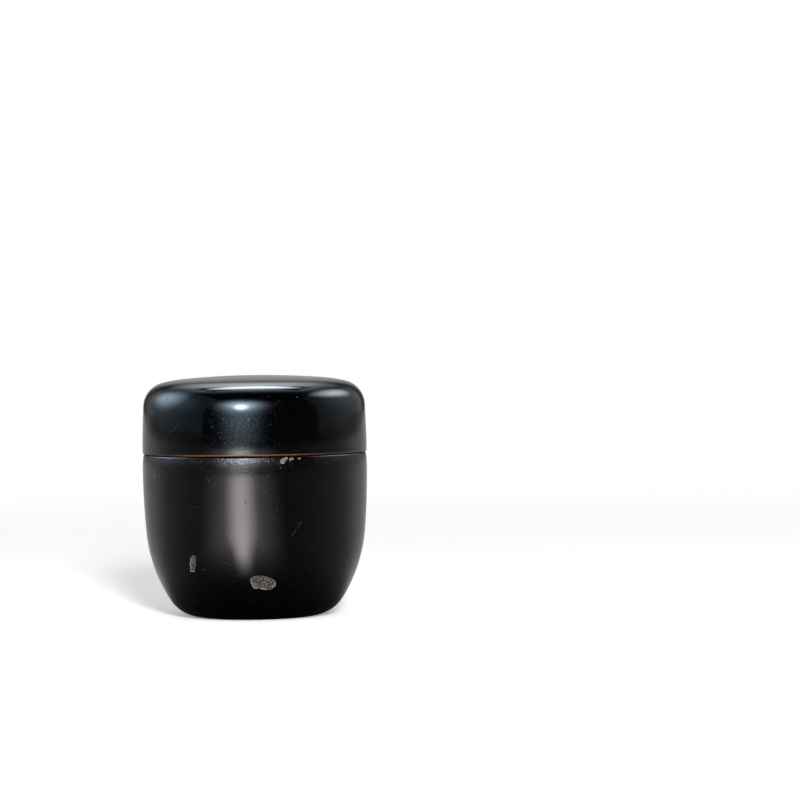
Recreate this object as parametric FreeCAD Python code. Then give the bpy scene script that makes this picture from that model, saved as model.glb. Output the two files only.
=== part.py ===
import FreeCAD, Part
import math
import os
from dataclasses import dataclass, replace

# A lacquered tea caddy of turned wood: a jujube-shaped body with a standing rim, and a lid that drops over.
# Each half is built up as lacquer ware is: a turned core, cloth on its edges, a clay ground, then lacquer.
# Millimetres, +Z up, origin at the middle of the foot on the surface it stands on. The front faces -Y.

# The outside
CADDY_DIAMETER = 66.0
CADDY_HEIGHT = 70.8
SEAM_HEIGHT = 48.0             # where the lid's lip rests on the body's ledge
BODY_WIDEST_BELOW_SEAM = 4.2
LID_WIDEST_ABOVE_SEAM = 2.0
FOOT_INSET = 16.65             # from the widest ring in to the foot
HEEL_RADIUS = 10.75
SIDE_TURN = 4.8                # degrees that the side has turned in where the belly starts
BELLY_TURN = 32.25             # degrees that the belly has turned in where the heel starts
BODY_BOW_RADIUS = 28.0         # the body's bow from its widest ring up to the ledge
LID_BOW_RADIUS = 60.0          # the lid's bow, from the lip up through its widest ring
LID_SIDE_LEAN = 1.2            # degrees that the lid's side leans in where it leaves the bow
LID_SIDE_RADIUS = 400.0
LID_SHOULDER_RADIUS = 7.4
LID_CROWN_RADIUS = 40.0        # the bend that eases the dome into the shoulder
LID_CROWN_INSET = 12.2         # from the widest ring in to where the dome meets the crown
LID_DOME_RADIUS = 240.0
LIP_RADIUS = 0.5               # the rounded red lip along the lid's lower edge
FOOT_RING_WIDTH = 1.8
BASE_DISH_RISE = 0.9           # how far the underside is hollowed inside the foot ring

# The walls and the fit
LID_WALL = 2.05
LID_CEILING = 2.4
RIM_WALL = 1.4
RIM_HEIGHT = 7.0               # how far the standing rim reaches above the ledge
FIT_CLEARANCE = 0.15           # between the rim and the lid, all round

# The layers
BLACK_COAT = 0.2
GROUND_OVER_CLOTH = 0.15
CLOTH = 0.15
LINING = 0.2
BOND_GAP = 0.02                # the bond line between two layers, so that neither bites into the other
CORE_LEDGE_EDGE = 0.2          # the rounding of the bare core's edges, which each layer widens
CORE_RIM_EDGE = 0.2
CORE_LIP_EDGE = 0.1
MOUTH_CLOTH_WIDTH = 6.5        # how far the cloth reaches from the seam, down the body
LID_CLOTH_WIDTH = 6.5          # and up the lid
FOOT_CLOTH_HEIGHT = 5.5

# Flaking of the black coat: the outlines are (right, up) along the surface, from the middle of each loss
LOSS_REACH = 1.0               # how far each loss is cut to either side of the surface
BELLY_LOSS = (
    (-3.8, 0.9), (-3.2, 1.6), (-2.3, 2.2), (-0.5, 2.2), (0.3, 1.9), (1.3, 1.7), (2.3, 1.3), (3.3, 0.6),
    (3.7, -0.6), (3.6, -1.1), (3.0, -1.6), (2.5, -2.4), (0.5, -2.4), (-0.8, -2.0), (-2.9, -1.8),
    (-3.2, -1.0), (-3.5, 0.0),
)
LEFT_LOSS = (
    (-0.3, 1.9), (0.3, 2.4), (1.1, 2.5), (1.4, 2.0), (1.3, 1.0), (0.9, -0.8), (0.5, -1.1),
    (0.1, -2.6), (-1.5, -2.6), (-1.1, -0.8), (-1.4, -0.2), (-0.5, 0.7), (-0.7, 1.4),
)
RIM_LOSS_A = (
    (-1.1, -0.1), (-0.7, 0.4), (-0.1, 0.7), (0.5, 1.0), (1.2, 0.9), (1.2, 0.3),
    (0.7, 0.1), (0.4, -0.4), (0.1, -0.9), (-0.4, -1.0), (-0.9, -0.7),
)
RIM_LOSS_B = (
    (-0.7, 0.2), (-0.1, 0.6), (0.4, 0.6), (0.8, 0.2), (0.7, -0.2), (-0.1, -0.3), (-0.2, -0.7), (-0.6, -0.4),
)
RIM_LOSS_C = ((-0.7, 0.1), (0.0, 0.2), (0.5, 0.4), (0.6, 0.0), (0.1, -0.4), (-0.3, -0.2))
# Each loss: degrees to the right of the front, height of its middle, outline
LOSSES = (
    (3.7, 11.7, BELLY_LOSS),
    (-36.4, 17.2, LEFT_LOSS),
    (14.5, SEAM_HEIGHT - 1.3, RIM_LOSS_A),
    (18.5, SEAM_HEIGHT - 1.0, RIM_LOSS_B),
    (22.6, SEAM_HEIGHT - 0.8, RIM_LOSS_C),
)

# Worked out from the above
GROUND_FACE = BLACK_COAT + BOND_GAP              # how deep each layer's face lies under the outside
CLOTH_FACE = GROUND_FACE + GROUND_OVER_CLOTH + BOND_GAP
CORE_FACE = CLOTH_FACE + CLOTH + BOND_GAP
LINED_FACE = LINING + BOND_GAP                   # how deep the core lies under the red lining
WIDEST = CADDY_DIAMETER / 2
BODY_WIDEST_HEIGHT = SEAM_HEIGHT - BODY_WIDEST_BELOW_SEAM
LID_WIDEST_HEIGHT = SEAM_HEIGHT + LID_WIDEST_ABOVE_SEAM
FOOT = WIDEST - FOOT_INSET
BORE = WIDEST - LID_WALL                         # the lid's inside
RIM_OUTSIDE = BORE - FIT_CLEARANCE
MOUTH = RIM_OUTSIDE - RIM_WALL
BODY_WALL = WIDEST - MOUTH
RIM_TOP = SEAM_HEIGHT + RIM_HEIGHT
LEDGE_EDGE = CORE_LEDGE_EDGE + CORE_FACE
RIM_EDGE = CORE_RIM_EDGE + LINED_FACE
INNER_LIP_EDGE = CORE_LIP_EDGE + LINED_FACE
QUARTER = math.pi / 2
TOUCH = 1e-7


@dataclass(frozen=True)
class Arc:
    """A round stretch of a profile. Points are (radius, height), and angles run from straight outward."""

    centre: tuple
    radius: float
    start: float
    end: float

    def point(self, angle):
        return (
            self.centre[0] + self.radius * math.cos(angle),
            self.centre[1] + self.radius * math.sin(angle),
        )

    def angle_at(self, height):
        return math.asin((height - self.centre[1]) / self.radius)

    def inset(self, depth):
        return replace(self, radius=self.radius - depth)

    def back(self):
        return replace(self, start=self.end, end=self.start)

    def spans(self, height):
        low, high = sorted((self.point(self.start)[1], self.point(self.end)[1]))
        return low <= height <= high


def inset(path, depth):
    """The path moved inward by depth, along its normals."""
    return [arc.inset(depth) for arc in path]


def back(path):
    """The path walked the other way."""
    return [arc.back() for arc in reversed(path)]


def before(path, height):
    """The stretch of a path from its start to the given height."""
    kept = []
    for arc in path:
        if arc.spans(height):
            return kept + [replace(arc, end=arc.angle_at(height))]
        kept.append(arc)
    return kept


def after(path, height):
    """The stretch of a path from the given height to its end."""
    return back(before(back(path), height))


def place(point):
    """A profile point as a place in the half plane that is turned."""
    return FreeCAD.Vector(point[0], 0, point[1])


def turned(*profile):
    """The solid turned from a closed profile of arcs and corners, with straight runs between them."""
    edges = []
    start = last = None
    for item in (*profile, None):
        if item is None:
            first, end = start, start
        elif isinstance(item, Arc):
            first, end = item.point(item.start), item.point(item.end)
        else:
            first = end = item
        if last is not None and math.dist(last, first) > TOUCH:
            edges.append(Part.LineSegment(place(last), place(first)).toShape())
        if isinstance(item, Arc):
            middle = item.point((item.start + item.end) / 2)
            edges.append(Part.Arc(place(first), place(middle), place(end)).toShape())
        start = start or first
        last = end
    face = Part.Face(Part.Wire(edges))
    return face.revolve(FreeCAD.Vector(0, 0, 0), FreeCAD.Vector(0, 0, 1), 360)


def meeting(centre_a, radius_a, centre_b, radius_b):
    """The upper one of the two points that lie radius_a from centre_a and radius_b from centre_b."""
    span = math.dist(centre_a, centre_b)
    along = (span**2 + radius_a**2 - radius_b**2) / (2 * span)
    aside = math.sqrt(radius_a**2 - along**2)
    u = ((centre_b[0] - centre_a[0]) / span, (centre_b[1] - centre_a[1]) / span)
    points = [
        (centre_a[0] + along * u[0] - s * aside * u[1], centre_a[1] + along * u[1] + s * aside * u[0])
        for s in (1, -1)
    ]
    return max(points, key=lambda point: point[1])


def direction(start, end):
    """The angle of the way from one point to another."""
    return math.atan2(end[1] - start[1], end[0] - start[0])


def body_outside():
    """The body's outside from the ledge to the foot: ledge edge, bow, side, belly and heel, all tangent."""
    bow_centre = (WIDEST - BODY_BOW_RADIUS, BODY_WIDEST_HEIGHT)
    edge_height = SEAM_HEIGHT - LEDGE_EDGE
    reach = BODY_BOW_RADIUS - LEDGE_EDGE
    edge_centre = (
        bow_centre[0] + math.sqrt(reach**2 - (edge_height - BODY_WIDEST_HEIGHT) ** 2),
        edge_height,
    )
    bow_start = direction(bow_centre, edge_centre)

    # The side and belly radii follow from the drop and the inset that the heel leaves for them.
    turns = (0.0, math.radians(SIDE_TURN), math.radians(BELLY_TURN), QUARTER)
    inward = [math.cos(a) - math.cos(b) for a, b in zip(turns, turns[1:])]
    down = [math.sin(b) - math.sin(a) for a, b in zip(turns, turns[1:])]
    left_inward = FOOT_INSET - HEEL_RADIUS * inward[2]
    left_down = BODY_WIDEST_HEIGHT - HEEL_RADIUS * down[2]
    cross = inward[0] * down[1] - inward[1] * down[0]
    side_radius = (left_inward * down[1] - inward[1] * left_down) / cross
    belly_radius = (inward[0] * left_down - left_inward * down[0]) / cross

    side = Arc((WIDEST - side_radius, BODY_WIDEST_HEIGHT), side_radius, 0, -turns[1])
    belly = Arc(side.inset(belly_radius).point(-turns[1]), belly_radius, -turns[1], -turns[2])
    return [
        Arc(edge_centre, LEDGE_EDGE, QUARTER, bow_start),
        Arc(bow_centre, BODY_BOW_RADIUS, bow_start, 0),
        side,
        belly,
        Arc((FOOT, HEEL_RADIUS), HEEL_RADIUS, -turns[2], -QUARTER),
    ]


def base_dish(depth):
    """The hollow of the underside, depth below the surface, from the foot ring in to the axis."""
    ring = FOOT - FOOT_RING_WIDTH
    radius = (ring**2 + BASE_DISH_RISE**2) / (2 * BASE_DISH_RISE)
    dish = Arc((0, BASE_DISH_RISE - radius), radius, 0, QUARTER).inset(-depth)
    return replace(dish, start=dish.angle_at(depth))


def lid_outside():
    """The lid's outside from the red lip up to the axis: bow, side, shoulder, crown and dome, all tangent."""
    lean = math.radians(LID_SIDE_LEAN)
    bow_centre = (WIDEST - LID_BOW_RADIUS, LID_WIDEST_HEIGHT)
    bow = Arc(bow_centre, LID_BOW_RADIUS, direction(bow_centre, lip_centre()), lean)
    side_centre = bow.inset(LID_SIDE_RADIUS).point(lean)
    dome_start = math.acos((WIDEST - LID_CROWN_INSET) / LID_DOME_RADIUS)
    dome = Arc((0, CADDY_HEIGHT - LID_DOME_RADIUS), LID_DOME_RADIUS, dome_start, QUARTER)
    crown_centre = dome.inset(LID_CROWN_RADIUS).point(dome_start)
    side_reach = LID_SIDE_RADIUS - LID_SHOULDER_RADIUS
    crown_reach = LID_CROWN_RADIUS - LID_SHOULDER_RADIUS
    shoulder_centre = meeting(side_centre, side_reach, crown_centre, crown_reach)
    side_end = direction(side_centre, shoulder_centre)
    crown_start = direction(crown_centre, shoulder_centre)
    return [
        bow,
        Arc(side_centre, LID_SIDE_RADIUS, lean, side_end),
        Arc(shoulder_centre, LID_SHOULDER_RADIUS, side_end, crown_start),
        Arc(crown_centre, LID_CROWN_RADIUS, crown_start, dome_start),
        dome,
    ]


def lip_centre():
    """The middle of the lip's rounding, tangent to the lid's bow and to the seam."""
    height = SEAM_HEIGHT + LIP_RADIUS
    reach = LID_BOW_RADIUS - LIP_RADIUS
    inward = math.sqrt(reach**2 - (LID_WIDEST_HEIGHT - height) ** 2)
    return (WIDEST - LID_BOW_RADIUS + inward, height)


def lid_inside(depth):
    """The lid's inside, depth into the lid, from the bore's inner lip up to the axis."""
    edge_centre = (BORE + INNER_LIP_EDGE, SEAM_HEIGHT + INNER_LIP_EDGE)
    shoulder_radius = LID_SHOULDER_RADIUS - LID_WALL
    ceiling_centre = (0, CADDY_HEIGHT - LID_DOME_RADIUS)
    ceiling_radius = LID_DOME_RADIUS - LID_CEILING
    inward = BORE - shoulder_radius
    rise = math.sqrt((ceiling_radius - shoulder_radius) ** 2 - inward**2)
    shoulder_centre = (inward, ceiling_centre[1] + rise)
    ceiling_start = direction(ceiling_centre, shoulder_centre)
    return [
        Arc(edge_centre, INNER_LIP_EDGE, -QUARTER, -2 * QUARTER).inset(depth),
        Arc(shoulder_centre, shoulder_radius, 0, ceiling_start).inset(-depth),
        Arc(ceiling_centre, ceiling_radius, ceiling_start, QUARTER).inset(-depth),
    ]


def rim_and_inside(depth, foot):
    """The standing rim and the tea space, depth under the lining's face, from the rim's foot to the floor."""
    edge_height = RIM_TOP - RIM_EDGE
    outer_edge = Arc((RIM_OUTSIDE - RIM_EDGE, edge_height), RIM_EDGE, 0, QUARTER)
    inner_edge = Arc((MOUTH + RIM_EDGE, edge_height), RIM_EDGE, QUARTER, 2 * QUARTER)
    bowl = inset(body_outside()[2:], BODY_WALL - depth)
    return [
        (RIM_OUTSIDE - depth, foot),
        outer_edge.inset(depth),
        inner_edge.inset(depth),
        *bowl,
        (0, BODY_WALL - depth),
    ]


def reverse(profile):
    """A profile of arcs and corners walked the other way."""
    return [item.back() if isinstance(item, Arc) else item for item in reversed(profile)]


def body_core():
    """Turned wood: the bowl, the ledge and the standing rim in one piece."""
    inside = rim_and_inside(LINED_FACE, SEAM_HEIGHT - CORE_FACE)
    return turned(*inset(body_outside(), CORE_FACE), base_dish(CORE_FACE), *reverse(inside))


def cloth_band(band):
    """A band of cloth bonded to the core along one stretch of the outside."""
    return turned(*inset(band, CLOTH_FACE), *back(inset(band, CORE_FACE - BOND_GAP)))


def body_mouth_cloth():
    """A band of hemp cloth round the core's shoulder."""
    return cloth_band(before(body_outside()[1:], SEAM_HEIGHT - MOUTH_CLOTH_WIDTH))


def body_foot_cloth():
    """A band of hemp cloth round the core's heel."""
    return cloth_band(after(body_outside(), FOOT_CLOTH_HEIGHT))


def body_ground():
    """The clay ground over the core and both bands of cloth, from the rim's foot round to the underside."""
    outside = body_outside()
    mouth_end = SEAM_HEIGHT - MOUTH_CLOTH_WIDTH - BOND_GAP
    foot_end = FOOT_CLOTH_HEIGHT + BOND_GAP
    over_core = CORE_FACE - BOND_GAP
    over_cloth = CLOTH_FACE - BOND_GAP
    return turned(
        (RIM_OUTSIDE + BOND_GAP, SEAM_HEIGHT - GROUND_FACE),
        *inset(outside, GROUND_FACE),
        base_dish(GROUND_FACE),
        base_dish(over_core).back(),
        *back(inset(after(outside, foot_end), over_cloth)),
        *back(inset(after(before(outside, foot_end), mouth_end), over_core)),
        *back(inset(before(outside[1:], mouth_end), over_cloth)),
        outside[0].inset(over_core).back(),
        (RIM_OUTSIDE + BOND_GAP, SEAM_HEIGHT - over_core),
    )


def surface_at(height):
    """The radius of the body's outside at a height, and the angle of its outward normal."""
    arc = next(a for a in body_outside() if a.spans(height))
    angle = arc.angle_at(height)
    return arc.point(angle)[0], angle


def loss_tool(azimuth, height, outline):
    """A plug with the outline of one loss, square to the surface where it lies."""
    radius, tilt = surface_at(height)
    turn = math.radians(azimuth)
    outward = FreeCAD.Vector(math.sin(turn), -math.cos(turn), 0)
    right = FreeCAD.Vector(math.cos(turn), math.sin(turn), 0)
    normal = outward * math.cos(tilt) + FreeCAD.Vector(0, 0, math.sin(tilt))
    up = FreeCAD.Vector(0, 0, math.cos(tilt)) - outward * math.sin(tilt)
    middle = outward * radius + FreeCAD.Vector(0, 0, height) + normal * LOSS_REACH
    corners = [middle + right * u + up * v for u, v in (*outline, outline[0])]
    return Part.Face(Part.makePolygon(corners)).extrude(normal * (-2 * LOSS_REACH))


def body_black_coat():
    """The black lacquer on the ledge and the side, with the places where it has flaked off."""
    outside = body_outside()
    coat = turned(
        (RIM_OUTSIDE + BOND_GAP, SEAM_HEIGHT),
        *outside,
        *back(inset(outside, BLACK_COAT)),
        (RIM_OUTSIDE + BOND_GAP, SEAM_HEIGHT - BLACK_COAT),
    )
    for loss in LOSSES:
        coat = coat.cut(loss_tool(*loss))
    return coat.Solids[0]


def base_black_coat():
    """The black lacquer on the foot ring and in the hollow of the underside."""
    edge = FOOT - BOND_GAP
    return turned((edge, 0), base_dish(0), base_dish(BLACK_COAT).back(), (edge, BLACK_COAT))


def body_red_lining():
    """The red lacquer on the standing rim and all over the tea space."""
    foot = SEAM_HEIGHT - CORE_FACE + BOND_GAP
    return turned(*rim_and_inside(0, foot), *reverse(rim_and_inside(LINING, foot)))


def lip_shoulder(depth):
    """The point depth under the outside, in line with the lower ends of the lid's ground and black coat."""
    bow = lid_outside()[0].inset(depth)
    return bow.point(bow.start)


def lid_core():
    """Turned wood: the lid's wall and top."""
    return turned(
        *inset(lid_outside(), CORE_FACE),
        *reverse(lid_inside(LINED_FACE)),
        (lip_shoulder(CORE_FACE)[0], SEAM_HEIGHT + LINED_FACE),
    )


def lid_rim_cloth():
    """A band of hemp cloth round the core's lower edge."""
    return cloth_band(before(lid_outside(), SEAM_HEIGHT + LID_CLOTH_WIDTH))


def lid_ground():
    """The clay ground over the lid's core and its band of cloth."""
    outside = lid_outside()
    cloth_end = SEAM_HEIGHT + LID_CLOTH_WIDTH + BOND_GAP
    return turned(
        *inset(outside, GROUND_FACE),
        *back(inset(after(outside, cloth_end), CORE_FACE - BOND_GAP)),
        *back(inset(before(outside, cloth_end), CLOTH_FACE - BOND_GAP)),
    )


def lid_black_coat():
    """The black lacquer over the lid, down to the lip."""
    outside = lid_outside()
    return turned(*outside, *back(inset(outside, BLACK_COAT)))


def lid_red_lining():
    """The red lacquer inside the lid, which comes round its lower edge and shows as the lip."""
    lip = Arc(lip_centre(), LIP_RADIUS, lid_outside()[0].start, -QUARTER)
    shoulder = lip_shoulder(CORE_FACE - BOND_GAP)
    return turned(
        lip,
        *lid_inside(0),
        *reverse(lid_inside(LINING)),
        (shoulder[0], SEAM_HEIGHT + LINING),
        shoulder,
    )


PIECES = (
    body_core,
    body_mouth_cloth,
    body_foot_cloth,
    body_ground,
    body_black_coat,
    base_black_coat,
    body_red_lining,
    lid_core,
    lid_rim_cloth,
    lid_ground,
    lid_black_coat,
    lid_red_lining,
)

os.makedirs("parts", exist_ok=True)
for piece in PIECES:
    solid = piece()
    solid.exportStep(f"parts/{piece.__name__}.step")
    print(piece.__name__, solid.ShapeType, solid.isValid(), round(solid.Volume, 2))
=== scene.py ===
"""The looks of a black-lacquered tea caddy: layers of lacquer, ground, cloth and wood, in a plain studio.

Lengths on the caddy and in textures are in millimetres, and become metres where a mesh is made. The studio's
lamps, camera and floor are in metres. +Z is up and the caddy's front faces -Y.
"""

import logging
import math
from bisect import bisect_right
from dataclasses import dataclass, field
from enum import Enum
from functools import partial, reduce
from typing import ClassVar, Iterable, NamedTuple, Sequence

import bpy
from mathutils import Matrix, Quaternion, Vector, noise
from mathutils.geometry import delaunay_2d_cdt

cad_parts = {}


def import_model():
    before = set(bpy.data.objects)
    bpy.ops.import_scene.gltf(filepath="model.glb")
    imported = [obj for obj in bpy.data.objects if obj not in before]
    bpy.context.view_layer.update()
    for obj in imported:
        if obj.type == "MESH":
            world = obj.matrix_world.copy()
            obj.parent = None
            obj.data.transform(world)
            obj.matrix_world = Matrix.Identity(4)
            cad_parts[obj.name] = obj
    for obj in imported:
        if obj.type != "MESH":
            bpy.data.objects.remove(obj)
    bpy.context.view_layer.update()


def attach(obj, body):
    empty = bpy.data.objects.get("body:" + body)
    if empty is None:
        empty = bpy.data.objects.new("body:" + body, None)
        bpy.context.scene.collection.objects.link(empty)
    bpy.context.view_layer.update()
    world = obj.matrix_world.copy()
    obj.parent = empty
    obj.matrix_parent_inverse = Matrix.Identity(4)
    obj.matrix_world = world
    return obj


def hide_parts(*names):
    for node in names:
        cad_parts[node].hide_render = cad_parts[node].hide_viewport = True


LOG = logging.getLogger("tea_caddy")
MM = 0.001
QUARTER = math.pi / 2
# The noise along the broken edges starts from this, so that they come out the same each time.
EDGE_SEED = 7

Point = tuple[float, float]
Span = tuple[float, float]
Colour = tuple[float, float, float]
Material = bpy.types.Material
Piece = bpy.types.Object
Socket = bpy.types.NodeSocket
Value = Socket | float


class Half(Enum):
    """The two halves that come apart, by the name of the body each one is."""

    BODY = "caddy body"
    LID = "lid"


class LossRule(Enum):
    """What a layer does where the black coat has flaked off."""

    CUT = "the layer is missing"
    GRAIN = "the layer is laid bare and shows its grain"


class Station(NamedTuple):
    """A place on a turned profile, and the way its air side faces there."""

    radius: float
    height: float
    out: float
    up: float


@dataclass(frozen=True)
class Bend:
    """A round stretch of a profile, walked from one angle to another.

    Angles run from straight outward. The air is on the left of the way that the profile is walked.
    """

    centre: Point
    radius: float
    start: float
    end: float

    @property
    def length(self) -> float:
        """How long the stretch is."""
        return self.turn * self.radius

    @property
    def turn(self) -> float:
        """How far the stretch turns, in radians."""
        return abs(self.end - self.start)

    def at(self, share: float) -> Station:
        """The place a share of the way along.

        Args:
            share: From 0 at the start to 1 at the end.

        Returns:
            The place, and the way it faces.
        """
        angle = self.start + (self.end - self.start) * share
        side = -1.0 if self.end > self.start else 1.0
        out, up = math.cos(angle), math.sin(angle)
        radius, height = self.centre[0] + self.radius * out, self.centre[1] + self.radius * up
        return Station(radius, height, side * out, side * up)

    def inset(self, depth: float) -> "Bend":
        """The same stretch, nearer its centre by depth."""
        return Bend(self.centre, self.radius - depth, self.start, self.end)

    def back(self) -> "Bend":
        """The same stretch, walked the other way."""
        return Bend(self.centre, self.radius, self.end, self.start)


@dataclass(frozen=True)
class Run:
    """A straight stretch of a profile. The air is on the left of the way that it is walked."""

    start: Point
    end: Point
    turn: float = 0.0

    @property
    def length(self) -> float:
        """How long the stretch is."""
        return math.dist(self.start, self.end)

    def at(self, share: float) -> Station:
        """The place a share of the way along.

        Args:
            share: From 0 at the start to 1 at the end.

        Returns:
            The place, and the way it faces.
        """
        across, rise = self.end[0] - self.start[0], self.end[1] - self.start[1]
        radius, height = self.start[0] + across * share, self.start[1] + rise * share
        return Station(radius, height, -rise / self.length, across / self.length)


def sides(corners: Sequence) -> Iterable[tuple]:
    """The pairs of neighbours round a closed outline."""
    return zip(corners, (*corners[1:], corners[0]))


class Profile:
    """The outline that a layer is turned from: bends and runs, end to end."""

    # A bend tighter than this is an edge, and the facing isn't eased across it.
    TIGHT = 2.0
    EASE_STEPS = 4
    HALVINGS = 40

    def __init__(self, *stretches: Bend | Run) -> None:
        """Joins the stretches in order.

        Args:
            stretches: The bends and runs, each starting where the one before it ends.
        """
        self.stretches = stretches
        self.starts = [sum(s.length for s in stretches[:n]) for n in range(len(stretches))]
        self.length = sum(s.length for s in stretches)

    def at(self, along: float) -> Station:
        """The place at a length along the profile."""
        n = max(0, bisect_right(self.starts, along) - 1)
        return self.stretches[n].at(min(1.0, (along - self.starts[n]) / self.stretches[n].length))

    def eased(self, along: float, reach: float) -> tuple[float, float]:
        """The way the air side faces, eased over the joins of its bends as a polished surface is.

        Args:
            along: The length along the profile.
            reach: How far to each side the facing is averaged, less beside a tight edge.

        Returns:
            The outward and the upward share of the facing.
        """
        for start, stretch in zip(self.starts, self.stretches):
            if isinstance(stretch, Bend) and stretch.radius < self.TIGHT:
                gap = max(start - along, along - start - stretch.length, 0.0)
                reach = min(reach, gap)
        reach = min(reach, along, self.length - along)
        count = self.EASE_STEPS
        steps = [self.at(along + reach * k / count) for k in range(-count, count + 1)]
        out, up = sum(s.out for s in steps), sum(s.up for s in steps)
        size = math.hypot(out, up)
        return out / size, up / size

    def rows(self, spacing: float, turn: float) -> list[float]:
        """Lengths along the profile where a mesh has its rows.

        Args:
            spacing: The most that two rows stand apart.
            turn: The most that the profile turns from row to row, in radians.

        Returns:
            The lengths, from the profile's start to its end.
        """
        found = []
        for start, stretch in zip(self.starts, self.stretches):
            count = max(1, math.ceil(stretch.length / spacing), math.ceil(stretch.turn / turn))
            found += [start + stretch.length * k / count for k in range(count)]
        return [*found, self.length]

    def along_at(self, height: float) -> float:
        """The length along a falling profile at which it passes a height.

        Args:
            height: The height.

        Returns:
            The length, from the profile's start.
        """
        low, high = 0.0, self.length
        for _ in range(self.HALVINGS):
            middle = (low + high) / 2
            low, high = (middle, high) if self.at(middle).height > height else (low, middle)
        return low


@dataclass(frozen=True)
class Loss:
    """A patch where the black coat has flaked off.

    The outline is (right, up) along the surface, from a middle given by its degrees right of the front and
    its height.
    """

    STRAYS_PER_MM = 3.0

    azimuth: float
    height: float
    outline: tuple[Point, ...]

    def spread(self, profile: Profile, step: float, roughness: float) -> list[Point]:
        """The broken edge of the loss on a turned layer.

        Args:
            profile: The layer's profile, walked downward.
            step: How far apart the points of the edge are.
            roughness: How far the broken edge strays from the outline.

        Returns:
            The points, as turns from the front in radians and lengths along the profile.
        """
        middle = profile.along_at(self.height)
        radius = profile.at(middle).radius
        points = []
        for a, b in sides(self.outline):
            count = max(1, round(math.dist(a, b) / step))
            for k in range(count):
                right, up = (p + (q - p) * k / count for p, q in zip(a, b))
                stray = noise.noise_vector(Vector((right, up, self.azimuth)) * self.STRAYS_PER_MM) * roughness
                turn = math.radians(self.azimuth) + (right + stray.x) / radius
                points.append((turn, middle - up - stray.y))
        return points


def heading(angle: float) -> Vector:
    """One step along an angle, outward and up."""
    return Vector((math.cos(angle), math.sin(angle)))


def inside(point: Point, outline: Sequence[Point]) -> bool:
    """Whether a point lies inside a closed outline.

    Args:
        point: The point.
        outline: The outline's corners, in order.

    Returns:
        True inside.
    """
    x, y = point
    hit = False
    for (ax, ay), (bx, by) in sides(outline):
        if (ay > y) != (by > y) and x < ax + (bx - ax) * (y - ay) / (by - ay):
            hit = not hit
    return hit


def placed(name: str, data: bpy.types.ID) -> Piece:
    """Puts an object in the scene.

    Args:
        name: The object's name.
        data: Its mesh, light or camera.

    Returns:
        The object.
    """
    made = bpy.data.objects.new(name, data)
    bpy.context.scene.collection.objects.link(made)
    return made


def way_to(azimuth: float, elevation: float) -> Vector:
    """The way from the caddy to a place, given in degrees right of the front and up."""
    turn, rise = math.radians(azimuth), math.radians(elevation)
    return Vector((math.sin(turn) * math.cos(rise), -math.cos(turn) * math.cos(rise), math.sin(rise)))


@dataclass
class Spot:
    """A point of a turned layer: its turn from the front, its length along the profile, and its shape."""

    turn: float
    along: float
    sunk: float = 0.0
    inner_turn: float = 0.0
    inner_along: float = 0.0

    def __post_init__(self) -> None:
        """A spot goes straight through the layer unless it is told otherwise."""
        self.inner_turn, self.inner_along = self.turn, self.along


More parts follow.
